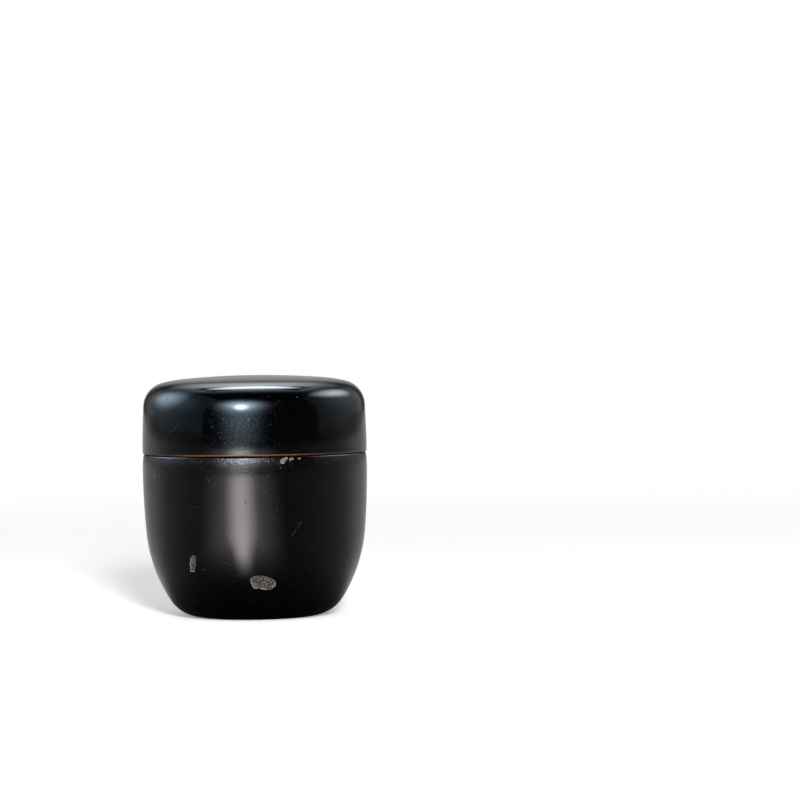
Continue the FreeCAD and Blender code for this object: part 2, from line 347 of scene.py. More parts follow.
@dataclass
class TurnedLayer:
    """A thin layer turned about the caddy's axis, closed all round, with the black coat's losses in it."""

    ON_AXIS = 1e-6
    WELD = 1e-6
    # The grain's spots stand in staggered rows. The start and the stagger are parts of a step.
    GRAIN_START = (0.3, 0.5)
    GRAIN_STAGGER = 0.5
    GRITS_PER_MM = 3.6
    GRIT_SLICE = 3.0
    GRIT_OCTAVES = (0.4, 2.2, 2)

    name: str
    profile: Profile
    thickness: float
    depth: float = 0.0
    losses: tuple[tuple[Loss, ...], ...] = ()
    rule: LossRule = LossRule.CUT
    columns: int = 192
    spacing: float = 0.7
    row_turn: float = math.radians(5.0)
    ease: float = 2.5
    edge_step: float = 0.22
    edge_roughness: float = 0.08
    edge_slope: float = 0.27
    edge_room: float = 0.8
    grain_step: float = 0.17
    grain_height: float = 0.1
    spots: list[Spot] = field(default_factory=list, init=False)
    cells: list[tuple[int, ...]] = field(default_factory=list, init=False)
    grain: set[int] = field(default_factory=set, init=False)
    torn: set[int] = field(default_factory=set, init=False)

    def build(self) -> Piece:
        """Makes the layer's object.

        Returns:
            The object, in the caddy's frame and in the scene.
        """
        self.rows = self.profile.rows(self.spacing, self.row_turn)
        self.grid = [self._row(along) for along in self.rows]
        windows = [self._window(group) for group in self.losses]
        for j, (upper, lower) in enumerate(zip(self.grid, self.grid[1:])):
            for i in range(self.columns):
                k = (i + 1) % self.columns
                if not any(w[0] <= i < w[1] and w[2] <= j < w[3] for w in windows):
                    self.cells.append(tuple(dict.fromkeys((upper[i], upper[k], lower[k], lower[i]))))
        for group, window in zip(self.losses, windows):
            self._patch(group, window)
        return self._object()

    def _row(self, along: float) -> list[int]:
        """The spots of one ring, or one spot for the whole ring where it lies on the axis.

        Args:
            along: The ring's length along the profile.

        Returns:
            The number of each column's spot.
        """
        if self.profile.at(along).radius < self.ON_AXIS:
            return self._add([Spot(0.0, along)]) * self.columns
        return self._add([Spot(self._turn(i), along) for i in range(self.columns)])

    def _add(self, spots: list[Spot]) -> list[int]:
        """Adds spots to the layer and gives their numbers."""
        self.spots += spots
        return list(range(len(self.spots) - len(spots), len(self.spots)))

    def _turn(self, column: int) -> float:
        """The turn of a column from the front."""
        return 2 * math.pi * column / self.columns - math.pi

    def _edges(self, group: Iterable[Loss]) -> list[list[Point]]:
        """The broken edges of a group of losses."""
        return [loss.spread(self.profile, self.edge_step, self.edge_roughness) for loss in group]

    def _window(self, group: Iterable[Loss]) -> tuple[int, int, int, int]:
        """The columns and rows round a group of losses, with a margin.

        Args:
            group: The losses.

        Returns:
            First and last column, first and last row.
        """
        turns, alongs = zip(*(point for edge in self._edges(group) for point in edge))
        left, right = ((turn + math.pi) * self.columns / (2 * math.pi) for turn in (min(turns), max(turns)))
        top, bottom = (bisect_right(self.rows, along) for along in (min(alongs), max(alongs)))
        return int(left) - 1, int(right) + 2, max(0, top - 2), min(len(self.rows) - 1, bottom + 1)

    def _patch(self, group: Iterable[Loss], window: tuple[int, int, int, int]) -> None:
        """Fills a window with cells that follow the broken edges of its losses.

        Args:
            group: The losses in the window.
            window: First and last column, first and last row.
        """
        i0, i1, j0, j1 = window
        edges = self._edges(group)
        reach = self.profile.at((self.rows[j0] + self.rows[j1]) / 2).radius
        ring = [(i, j0) for i in range(i0, i1)] + [(i1, j) for j in range(j0, j1)]
        ring += [(i, j1) for i in range(i1, i0, -1)] + [(i0, j) for j in range(j1, j0, -1)]
        inner = [(i, j) for i in range(i0 + 1, i1) for j in range(j0 + 1, j1)]
        picked = [self.grid[j][i] for i, j in ring]
        bonds = [*sides(range(len(ring)))]
        for i, j in inner:
            place = (self._turn(i), self.rows[j])
            if not any(inside(place, edge) for edge in edges) and self._clear(place, edges, reach):
                picked.append(self.grid[j][i])
        for edge in edges:
            first = len(picked)
            picked += self._edge_spots(edge)
            bonds += sides(range(first, first + len(edge)))
            if self.rule is LossRule.GRAIN:
                picked += self._grain_spots(edge, reach)
        flat = [Vector((self.spots[n].turn * reach, self.spots[n].along)) for n in picked]
        verts, _, faces, origins, _, _ = delaunay_2d_cdt(flat, bonds, [], 0, self.WELD)
        for face in faces:
            middle = sum((verts[n] for n in face), Vector((0.0, 0.0))) / len(face)
            bare = any(inside((middle.x / reach, middle.y), edge) for edge in edges)
            if bare and self.rule is LossRule.CUT:
                continue
            if bare:
                self.grain.add(len(self.cells))
            self.cells.append(tuple(picked[origins[n][0]] for n in face))

    def _clear(self, place: Point, edges: list[list[Point]], reach: float) -> bool:
        """Whether a place is far enough from every broken edge to keep its own spot."""
        room = self.edge_step * self.edge_room
        return all(math.hypot((place[0] - t) * reach, place[1] - a) > room for edge in edges for t, a in edge)

    def _edge_spots(self, edge: list[Point]) -> list[int]:
        """The spots of a broken edge, whose wall slopes in towards the bare patch.

        Args:
            edge: The points of the edge.

        Returns:
            The numbers of the spots.
        """
        numbers = self._add([Spot(*place) for place in edge])
        if self.rule is LossRule.CUT:
            self.torn.update(numbers)
            middle = [sum(parts) / len(edge) for parts in zip(*edge)]
            for spot in (self.spots[n] for n in numbers):
                turn, along = middle[0] - spot.turn, middle[1] - spot.along
                gap = math.hypot(turn * self.profile.at(spot.along).radius, along)
                spot.inner_turn += turn * self.edge_slope / gap
                spot.inner_along += along * self.edge_slope / gap
        return numbers

    def _grain_spots(self, edge: list[Point], reach: float) -> list[int]:
        """Spots all over a bare patch, raised and sunk as the grain of the ground is.

        Args:
            edge: The points of the patch's edge.
            reach: The radius at which turns become lengths.

        Returns:
            The numbers of the spots.
        """
        spots = []
        turns, alongs = zip(*edge)
        step, (aside, below) = self.grain_step, self.GRAIN_START
        for n in range(int((max(turns) - min(turns)) * reach / step)):
            for m in range(int((max(alongs) - min(alongs)) / step)):
                jog = self.GRAIN_STAGGER * (m % 2)
                place = (min(turns) + (n + jog + aside) * step / reach, min(alongs) + (m + below) * step)
                if inside(place, edge) and self._clear(place, [edge], reach):
                    at = Vector((place[0] * reach, place[1], self.GRIT_SLICE)) * self.GRITS_PER_MM
                    grit = noise.fractal(at, *self.GRIT_OCTAVES)
                    spots.append(Spot(*place, sunk=-self.grain_height * grit))
        return self._add(spots)

    def _place(self, turn: float, along: float, depth: float) -> Vector:
        """Where a point of the layer is.

        Args:
            turn: Its turn from the front.
            along: Its length along the profile.
            depth: How deep it lies under the profile.

        Returns:
            The place, in metres.
        """
        s = self.profile.at(along)
        radius, height = s.radius - s.out * depth, s.height - s.up * depth
        return Vector((radius * math.sin(turn), -radius * math.cos(turn), height)) * MM

    def _facing(self, spot: Spot) -> Vector:
        """The way the layer's air side faces at a spot."""
        out, up = self.profile.eased(spot.along, self.ease)
        return Vector((out * math.sin(spot.turn), -out * math.cos(spot.turn), up))

    def _walls(self) -> list[tuple[int, int]]:
        """The open edges of the layer, where a wall joins its two faces."""
        seen = {side: True for cell in self.cells for side in sides(cell)}
        return [(a, b) for a, b in seen if (b, a) not in seen]

    def _object(self) -> Piece:
        """Makes the mesh from the spots and cells, with the facing of the true turned surface.

        Returns:
            The object.
        """
        below = len(self.spots)
        verts = [self._place(s.turn, s.along, self.depth + s.sunk) for s in self.spots]
        verts += [self._place(s.inner_turn, s.inner_along, self.depth + self.thickness) for s in self.spots]
        facing = [self._facing(s) for s in self.spots]
        faces, corners, smooth = [], [], []
        broken = [False] * (2 * len(self.cells))
        for n, cell in enumerate(self.cells):
            faces.append(tuple(reversed(cell)))
            corners += [Vector() if n in self.grain else facing[v] for v in reversed(cell)]
            faces.append(tuple(v + below for v in cell))
            corners += [-facing[v] for v in cell]
            smooth += [n not in self.grain, True]
        for a, b in self._walls():
            faces.append((a, b, b + below, a + below))
            corners += [Vector()] * 4
            smooth.append(False)
            broken.append(a in self.torn and b in self.torn)
        used = sorted({v for face in faces for v in face})
        number = {v: n for n, v in enumerate(used)}
        mesh = bpy.data.meshes.new(self.name)
        mesh.from_pydata([verts[v] for v in used], [], [tuple(number[v] for v in face) for face in faces])
        mesh.polygons.foreach_set("use_smooth", smooth)
        mesh.polygons.foreach_set("material_index", [int(edge) for edge in broken])
        mesh.normals_split_custom_set(corners)
        mesh.update()
        return placed(self.name, mesh)


@dataclass(frozen=True)
class Mark:
    """A scratch, nick or pit: a line between two places, each as degrees right of the front and a height."""

    start: Point
    end: Point
    width: float
    strength: float = 1.0


class Hairlines(NamedTuple):
    """Fine scratches that run one way: degrees from level, rough sizes, and where the clear surface ends."""

    angle: float
    length: float
    width: float
    clear: Span


class Bench:
    """Lays out the nodes of one tree."""

    MEASURES = ("DISTANCE", "DOT_PRODUCT", "LENGTH")
    SMOOTH = {"interpolation_type": "SMOOTHSTEP"}
    COLOURS = {"data_type": "RGBA", "clamp_factor": True}
    # A mix node has inputs and results for other kinds of value beside its share and its colours.
    BEFORE_COLOURS = (None,) * 5
    MIXED_COLOUR = 2

    def __init__(self, tree: bpy.types.NodeTree) -> None:
        """Starts on a tree, which may hold nodes already."""
        self.tree = tree

    def feed(self, made: bpy.types.Node, *values: object, **inputs: object) -> None:
        """Links a node's inputs to sockets, or sets their constants. None leaves an input as it is.

        Args:
            made: The node.
            values: What its first inputs get, in order.
            inputs: What other inputs get, by their names with _ for a space.
        """
        given = {name.replace("_", " "): value for name, value in inputs.items()}
        for key, value in (*enumerate(values), *given.items()):
            if isinstance(value, Socket):
                self.tree.links.new(value, made.inputs[key])
            elif value is not None:
                socket = made.inputs[key]
                socket.default_value = (*value, 1.0) if socket.type == "RGBA" else value

    def node(self, kind: str, *values: object, settings: dict[str, object] | None = None,
             **inputs: object) -> bpy.types.Node:
        """Adds a node and feeds it.

        Args:
            kind: The node's type.
            values: What its first inputs get, in order.
            settings: The node's own settings.
            inputs: What other inputs get, by name.

        Returns:
            The node.
        """
        made = self.tree.nodes.new(kind)
        for name, setting in (settings or {}).items():
            setattr(made, name, setting)
        self.feed(made, *values, **inputs)
        return made

    def maths(self, operation: str, *values: Value, clamp: bool = False) -> Socket:
        """One step of arithmetic on numbers, whose result stays from 0 to 1 if it is clamped."""
        settings = {"operation": operation, "use_clamp": clamp}
        return self.node("ShaderNodeMath", *values, settings=settings).outputs[0]

    def vector(self, operation: str, *values: object, scale: Value | None = None) -> Socket:
        """One step of arithmetic on vectors, which gives a vector or, for a measure, a number."""
        made = self.node("ShaderNodeVectorMath", *values, settings={"operation": operation}, Scale=scale)
        return made.outputs["Value" if operation in self.MEASURES else "Vector"]

    def total(self, *values: Value) -> Socket:
        """The sum of several numbers."""
        return reduce(partial(self.maths, "ADD"), values)

    def weigh(self, value: Value, share: Value) -> Socket:
        """A number times a share."""
        return self.maths("MULTIPLY", value, share)

    def ramp(self, value: Value, low: float, high: float, start: float = 0.0, end: float = 1.0) -> Socket:
        """A smooth change from one number to another as a value passes from low to high."""
        made = self.node("ShaderNodeMapRange", value, low, high, start, end, settings=self.SMOOTH)
        return made.outputs["Result"]

    def blend(self, share: Value, first: Socket, second: Socket) -> Socket:
        """One shader going over into another, by a share."""
        return self.node("ShaderNodeMixShader", share, first, second).outputs[0]

    def tint(self, share: Value, under: object, over: object) -> Socket:
        """One colour over another, by a share."""
        made = self.node("ShaderNodeMix", share, *self.BEFORE_COLOURS, under, over, settings=self.COLOURS)
        return made.outputs[self.MIXED_COLOUR]

    def shades(self, value: Value, stops: Sequence[Point]) -> Socket:
        """A grey that passes through several shades.

        Args:
            value: A number from -1 to 1.
            stops: Pairs of a value and its shade, in order.

        Returns:
            The grey.
        """
        made = self.node("ShaderNodeValToRGB", Fac=self.maths("MULTIPLY_ADD", value, 0.5, 0.5))
        elements = made.color_ramp.elements
        while len(elements) < len(stops):
            elements.new(1.0)
        for element, (place, shade) in zip(elements, stops):
            element.position = (place + 1.0) / 2
            element.color = (shade, shade, shade, 1.0)
        return made.outputs["Color"]


class FinishBench(Bench):
    """Lays out the nodes of one finish. Textures lie in the caddy's own frame, in millimetres."""

    LEVEL_TURN = {"rotation_type": "Z_AXIS"}
    CLOUDS = (0.3, 0.7)
    MARK_CORE = 0.25
    MARK_LEAST = 0.1
    MARK_BREAKS = (0.36, 0.54)
    MARK_BREAK_PITCH = 0.7
    POINT_LENGTH = 1e-6

    def __init__(self, name: str) -> None:
        """Starts a finish with its shader and its place on the caddy.

        Args:
            name: The finish's name.
        """
        self.material = bpy.data.materials.new(name)
        self.material.use_nodes = True
        super().__init__(self.material.node_tree)
        self.tree.nodes.clear()
        self.shader = self.node("ShaderNodeBsdfPrincipled")
        self.output = self.node("ShaderNodeOutputMaterial", Surface=self.shader.outputs["BSDF"])
        self.place = self.vector("SCALE", self.node("ShaderNodeTexCoord").outputs["Object"], scale=1.0 / MM)
        split = self.node("ShaderNodeSeparateXYZ", Vector=self.place).outputs
        self.across, self.height = split["X"], split["Z"]
        self.turn = self.maths("ARCTAN2", self.across, self.weigh(split["Y"], -1.0))

    def finish(self, **inputs: object) -> Material:
        """Feeds the shader's own inputs and gives the finished material."""
        self.feed(self.shader, **inputs)
        return self.material

    def grain(self, pitch: float | Colour, detail: float = 2.0, roughness: float = 0.5,
              place: Socket | None = None) -> Socket:
        """Cloudy noise from 0 to 1.

        Args:
            pitch: The size of its clouds, or one size along each axis, in millimetres.
            detail: How many finer octaves it has.
            roughness: How strong the finer octaves are.
            place: Where it lies, if not in the caddy's frame.

        Returns:
            The noise.
        """
        sizes = pitch if isinstance(pitch, tuple) else (pitch,) * 3
        at = self.vector("MULTIPLY", place or self.place, tuple(1.0 / s for s in sizes))
        made = self.node("ShaderNodeTexNoise", Vector=at, Scale=1.0, Detail=detail, Roughness=roughness)
        return made.outputs["Fac"]

    def varied(self, clouds: Value, first: float, last: float) -> Socket:
        """A number that varies with cloudy noise."""
        return self.ramp(clouds, *self.CLOUDS, first, last)

    def relief(self, height: Value, rise: float, under: Socket | None = None) -> Socket:
        """The facing of a surface with a height of 0 to 1 that stands for a rise in millimetres."""
        made = self.node("ShaderNodeBump", Strength=1.0, Distance=rise * MM, Height=height, Normal=under)
        return made.outputs["Normal"]

    def unrolled(self, radius: float) -> Socket:
        """The side of the caddy rolled out flat: right from the front, and up, in millimetres."""
        made = self.node("ShaderNodeCombineXYZ", X=self.weigh(self.turn, radius), Y=self.height)
        return made.outputs["Vector"]

    def hairlines(self, flat: Socket, lines: Hairlines) -> Socket:
        """Fine polishing scratches that run one way.

        Args:
            flat: The side of the caddy rolled out flat.
            lines: The scratches.

        Returns:
            1 on a scratch and 0 between them.
        """
        angle = math.radians(lines.angle)
        turned = self.node("ShaderNodeVectorRotate", settings=self.LEVEL_TURN, Vector=flat, Angle=angle)
        streaks = self.grain((lines.length, lines.width, 1.0), 1.0, 0.5, turned.outputs["Vector"])
        return self.ramp(streaks, *lines.clear)

    def marks(self, flat: Socket, radius: float, marks: Iterable[Mark]) -> Socket:
        """Single scratches, nicks and pits.

        Args:
            flat: The side of the caddy rolled out flat.
            radius: The radius that it was rolled out at.
            marks: The marks.

        Returns:
            Each mark's strength on it, and 0 elsewhere.
        """
        result: Value = 0.0
        for mark in marks:
            ends = [Vector((math.radians(a) * radius, z, 0.0)) for a, z in (mark.start, mark.end)]
            way = ends[1] - ends[0]
            off = self.vector("SUBTRACT", flat, tuple(ends[0]))
            along = self.vector("DOT_PRODUCT", off, tuple(way / max(way.length_squared, self.POINT_LENGTH)))
            nearest = self.vector("SCALE", tuple(way), scale=self.maths("ADD", along, 0.0, clamp=True))
            gap = self.vector("DISTANCE", off, nearest)
            shown = self.ramp(gap, mark.width, mark.width * self.MARK_CORE, 0.0, mark.strength)
            result = self.maths("MAXIMUM", result, shown)
        breaks = self.grain(self.MARK_BREAK_PITCH, 2.0, 0.6)
        return self.weigh(result, self.ramp(breaks, *self.MARK_BREAKS, self.MARK_LEAST, 1.0))


def shaded(colour: Colour, share: float) -> Colour:
    """A colour made lighter or darker by a share."""
    return tuple(share * part for part in colour)


@dataclass(frozen=True)
class BlackLacquer:
    """Black lacquer: a polish with a tint of its own, under a haze of fine rubbing marks."""

    name: str
    colour: Colour
    worn: Colour
    sheen: Colour
    gloss: float
    haze: float
    veil: float
    scratching: float
    ripple: float
    rubbing: float
    specking: float
    rings: float
    edge_wear: float
    pale_marks: tuple[Mark, ...] = ()
    # Painted shade: nicks and pits are drawn darker and duller than the lacquer round them, in place of the
    # shade inside them.
    nick_shade_marks: tuple[Mark, ...] = ()
    radius: float = 33.0
    edge: Span = (43.5, 46.5)
    crown: Span = (64.0, 69.0)
    crown_rubbing: float = 0.3
    index: float = 1.5
    smudging: Span = (-0.03, 0.05)
    dusting: float = 0.45
    patching: float = 0.12
    pale_shade: float = 3.0
    nick_shade_darkening: float = 0.2
    mottle_rise: float = 0.1
    cut_rise: float = -0.02
    line_depth: float = 0.06
    line_dulling: float = 0.04
    patch_dulling: float = 0.15
    pale_dulling: float = 0.3
    nick_shade_dulling: float = 0.4
    hairlines: tuple[Hairlines, ...] = (
        Hairlines(52.0, 7.0, 0.13, (0.72, 0.78)),
        Hairlines(-38.0, 5.0, 0.11, (0.73, 0.79)),
        Hairlines(8.0, 9.0, 0.12, (0.71, 0.77)),
    )

    def material(self) -> Material:
        """Makes the finish.

        Returns:
            The material.
        """
        b = FinishBench(self.name)
        flat = b.unrolled(self.radius)
        smudge = b.grain(9.0, 4.0, 0.6)
        lines = b.total(*(b.hairlines(flat, group) for group in self.hairlines))
        dust = b.ramp(b.grain(0.32, 0.0), 0.79, 0.86)
        specks = b.ramp(b.grain(0.32, 1.0), 0.61, 0.73)
        pale = b.marks(flat, self.radius, self.pale_marks)
        # Painted shade of nicks and pits: a mask along each mark, which darkens the colour and dulls the
        # polish.
        dark = b.marks(flat, self.radius, self.nick_shade_marks)
        top = b.weigh(b.ramp(b.height, *self.edge), self.edge_wear)
        mottle = b.weigh(b.grain(0.55, 2.0, 0.6), top)
        patches = b.weigh(b.ramp(b.grain(2.2, 4.0, 0.7), 0.52, 0.7), top)

        colour = b.tint(b.weigh(lines, self.scratching), self.colour, self.worn)
        colour = b.tint(b.weigh(dust, self.dusting), colour, self.worn)
        colour = b.tint(b.weigh(patches, self.patching), colour, self.worn)
        colour = b.tint(pale, colour, shaded(self.worn, self.pale_shade))
        # Painted shade in the nicks and pits.
        colour = b.tint(dark, colour, shaded(self.colour, self.nick_shade_darkening))
        rough = b.total(
            b.varied(smudge, *(self.gloss + change for change in self.smudging)),
            b.weigh(lines, self.line_dulling), b.weigh(patches, self.patch_dulling),
            b.weigh(pale, self.pale_dulling), b.weigh(dark, self.nick_shade_dulling),
            b.weigh(specks, self.specking),
        )
        wave = b.relief(b.grain(6.0, 1.0), self.ripple)
        uneven = b.relief(mottle, self.mottle_rise, wave)
        handled = b.weigh(b.grain(0.42, 1.0), b.ramp(b.height, *self.crown, 1.0, self.crown_rubbing))
        rubbed = b.relief(handled, self.rubbing, uneven)
        ringed = b.relief(b.grain((40.0, 40.0, 0.5), 1.0), self.rings, rubbed)
        cut = b.relief(b.total(pale, b.weigh(lines, self.line_depth)), self.cut_rise, ringed)
        return b.finish(
            Base_Color=colour, Roughness=rough, Normal=cut, IOR=self.index, Specular_Tint=self.sheen,
            Coat_Weight=self.veil, Coat_Roughness=self.haze, Coat_IOR=self.index, Coat_Normal=uneven,
        )


@dataclass(frozen=True)
class RedLacquer:
    """Red-brown lacquer, worn and dirtied in places along its edges."""

    name: str = "red_brown_lacquer"
    fresh: Colour = (0.2, 0.054, 0.017)
    dull: Colour = (0.11, 0.032, 0.016)
    grime: Colour = (0.012, 0.01, 0.009)
    roughness: Span = (0.34, 0.54)
    coat: float = 0.15
    rise: float = 0.02
    streaking: float = 0.3
    streak_shade: float = 1.5
    spotting: float = 0.7
    lip: Span = (31.3, 31.9)
    grimy_left: Span = (-38.0, -52.0)
    grimy_right: Span = (18.0, 34.0)
    right_share: float = 0.65

    def material(self) -> Material:
        """Makes the finish.

        Returns:
            The material.
        """
        b = FinishBench(self.name)
        clouds = b.grain(6.0, 4.0, 0.6)
        streaks = b.grain((14.0, 14.0, 0.5), 3.0, 0.6)
        spots = b.ramp(b.grain(1.1, 3.0, 0.65), 0.56, 0.7)
        colour = b.tint(b.ramp(clouds, 0.35, 0.65), self.fresh, self.dull)
        colour = b.tint(b.weigh(streaks, self.streaking), colour, shaded(self.fresh, self.streak_shade))
        colour = b.tint(b.weigh(spots, self.spotting), colour, self.grime)
        left, right = (b.ramp(b.turn, *(math.radians(turn) for turn in ends))
                       for ends in (self.grimy_left, self.grimy_right))
        gap = b.vector("LENGTH", b.vector("MULTIPLY", b.place, (1.0, 1.0, 0.0)))
        handled = b.weigh(b.total(left, b.weigh(right, self.right_share)), b.ramp(gap, *self.lip))
        colour = b.tint(handled, colour, self.grime)
        facing = b.relief(b.total(b.weigh(clouds, 0.5), b.weigh(streaks, 0.5)), self.rise)
        return b.finish(
            Base_Color=colour, Roughness=b.varied(clouds, *self.roughness), Normal=facing,
            Coat_Weight=self.coat, Coat_Roughness=self.coat,
        )


@dataclass(frozen=True)
class ClayGround:
    """The ground of clay and lacquer under the black coat: grey-brown and gritty, with painted shade in the
    dips of its grit, and dusty by the ledge.
    """

    name: str = "clay_ground"
    body: Colour = (0.042, 0.038, 0.034)
    grit: Colour = (0.18, 0.167, 0.15)
    # Painted shade, for the dips of the grit.
    hollow_shade: Colour = (0.01, 0.009, 0.008)
    dusty: Colour = (0.2, 0.19, 0.175)
    dust_heights: Span = (42.0, 46.0)
    roughness: Span = (0.9, 0.7)
    gleam: float = 0.1
    rise: float = 0.12

    def material(self) -> Material:
        """Makes the finish.

        Returns:
            The material.
        """
        b = FinishBench(self.name)
        lumps = b.grain(0.55, 3.0, 0.7)
        grit = b.grain(0.4, 2.0, 0.6)
        colour = b.tint(b.ramp(lumps, 0.42, 0.62), self.body, self.grit)
        # Painted shade: the colour goes darker where the grit's relief dips.
        colour = b.tint(b.ramp(grit, 0.5, 0.36), colour, self.hollow_shade)
        dust = b.weigh(b.ramp(b.height, *self.dust_heights), b.ramp(lumps, 0.35, 0.55, 0.4, 0.95))
        colour = b.tint(dust, colour, self.dusty)
        facing = b.relief(b.total(b.weigh(lumps, 0.6), b.weigh(grit, 0.4)), self.rise)
        rough = b.varied(lumps, *self.roughness)
        return b.finish(Base_Color=colour, Roughness=rough, Normal=facing, Specular_IOR_Level=self.gleam)


@dataclass(frozen=True)
class BrokenEdge:
    """The broken edge of the black coat round a loss: pale where it has bruised, dark where it is whole."""

    name: str = "broken_edge_of_coat"
    bruised: Colour = (0.36, 0.34, 0.3)
    whole: Colour = (0.05, 0.045, 0.04)
    roughness: Span = (0.75, 0.95)

    def material(self) -> Material:
        """Makes the finish.

        Returns:
            The material.
        """
        b = FinishBench(self.name)
        bruise = b.grain(0.9, 3.0, 0.65)
        colour = b.tint(b.ramp(bruise, 0.34, 0.62), self.whole, self.bruised)
        rough = b.varied(bruise, *self.roughness)
        return b.finish(Base_Color=colour, Roughness=rough, Specular_IOR_Level=0.0)


@dataclass(frozen=True)
class HempCloth:
    """Plain-woven hemp, stiff with lacquer."""

    name: str = "hemp_cloth"
    thread: Colour = (0.36, 0.3, 0.2)
    gap: Colour = (0.08, 0.06, 0.04)
    pitch: float = 0.9
    radius: float = 32.5
    roughness: Span = (0.75, 0.95)
    rise: float = 0.12
    fibre_shade: float = 0.55

    def material(self) -> Material:
        """Makes the finish.

        Returns:
            The material.
        """
        b = FinishBench(self.name)
        around = b.maths("SINE", b.weigh(b.turn, round(2 * math.pi * self.radius / self.pitch)))
        upward = b.maths("SINE", b.weigh(b.height, 2 * math.pi / self.pitch))
        weave = b.ramp(b.weigh(around, upward), -0.8, 0.8)
        fibres = b.grain(0.6, 4.0, 0.7)
        colour = b.tint(b.ramp(weave, 0.15, 0.6), self.gap, self.thread)
        colour = b.tint(b.weigh(fibres, 0.45), colour, shaded(self.thread, self.fibre_shade))
        facing = b.relief(b.total(weave, b.weigh(fibres, 0.3)), self.rise)
        return b.finish(Base_Color=colour, Roughness=b.varied(fibres, *self.roughness), Normal=facing)


@dataclass(frozen=True)
class TurnedWood:
    """Bare turned hardwood, with rings that run through it and marks of the turning."""

    name: str = "turned_wood"
    pale: Colour = (0.46, 0.31, 0.18)
    dark: Colour = (0.26, 0.15, 0.075)
    ring: float = 3.2
    warp: float = 9.0
    roughness: Span = (0.55, 0.7)
    rise: float = 0.03
    pore_shade: float = 0.5

    def material(self) -> Material:
        """Makes the finish.

        Returns:
            The material.
        """
        b = FinishBench(self.name)
        bend = b.weigh(b.grain(22.0, 2.0), self.warp)
        rings = b.ramp(b.maths("SINE", b.weigh(b.total(b.across, bend), 2 * math.pi / self.ring)), -1.0, 1.0)
        pores = b.ramp(b.grain((0.25, 3.0, 0.25), 2.0, 0.6), 0.6, 0.72)
        turning = b.grain((60.0, 60.0, 0.3), 2.0, 0.5)
        colour = b.tint(b.weigh(rings, 0.7), self.pale, self.dark)
        colour = b.tint(b.weigh(pores, 0.6), colour, shaded(self.dark, self.pore_shade))
        facing = b.relief(b.total(b.weigh(turning, 0.5), b.weigh(pores, -0.5)), self.rise)
        return b.finish(Base_Color=colour, Roughness=b.ramp(rings, 0.0, 1.0, *self.roughness), Normal=facing)


@dataclass
class CaddyHalf:
    """One of the two halves that come apart: the sizes that they share, and how they are built and dressed.

    Each half says which body it is, the record's slot of every CAD node in it, and which of those nodes have
    broken edges with a finish of their own.
    """

    HALF: ClassVar[Half]
    SLOTS: ClassVar[dict[str, str]]
    TORN: ClassVar[tuple[str, ...]] = ()

    widest: float = 33.0
    seam: float = 48.0
    coat: float = 0.2
    lining: float = 0.2
    plain_spacing: float = 1.2

    def layers(self) -> dict[str, TurnedLayer]:
        """The layers that show, by the CAD node that each one stands for."""
        raise NotImplementedError

    def build(self) -> dict[str, Piece]:
        """Makes the objects of the layers that show, by the CAD node that each one stands for."""
        return {node: layer.build() for node, layer in self.layers().items()}

    def dress(self, layers: dict[str, Piece], finishes: dict[str, Material]) -> None:
        """Puts the layers on their body, in place of CAD nodes, and gives every node its finish.

        Args:
            layers: The objects that were made, by CAD node.
            finishes: The finishes, by the record's slot.
        """
        half = self.HALF
        for node, slot in self.SLOTS.items():
            piece = layers.get(node)
            if piece is not None:
                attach(piece, half.value)
                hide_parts(node)
            else:
                piece = bpy.data.objects[node]
                piece.data.materials.clear()
            piece.data.materials.append(finishes[slot])
            if node in self.TORN:
                piece.data.materials.append(finishes["broken_edge"])
            LOG.info("%s: %s on %s", half.value, piece.name, slot)


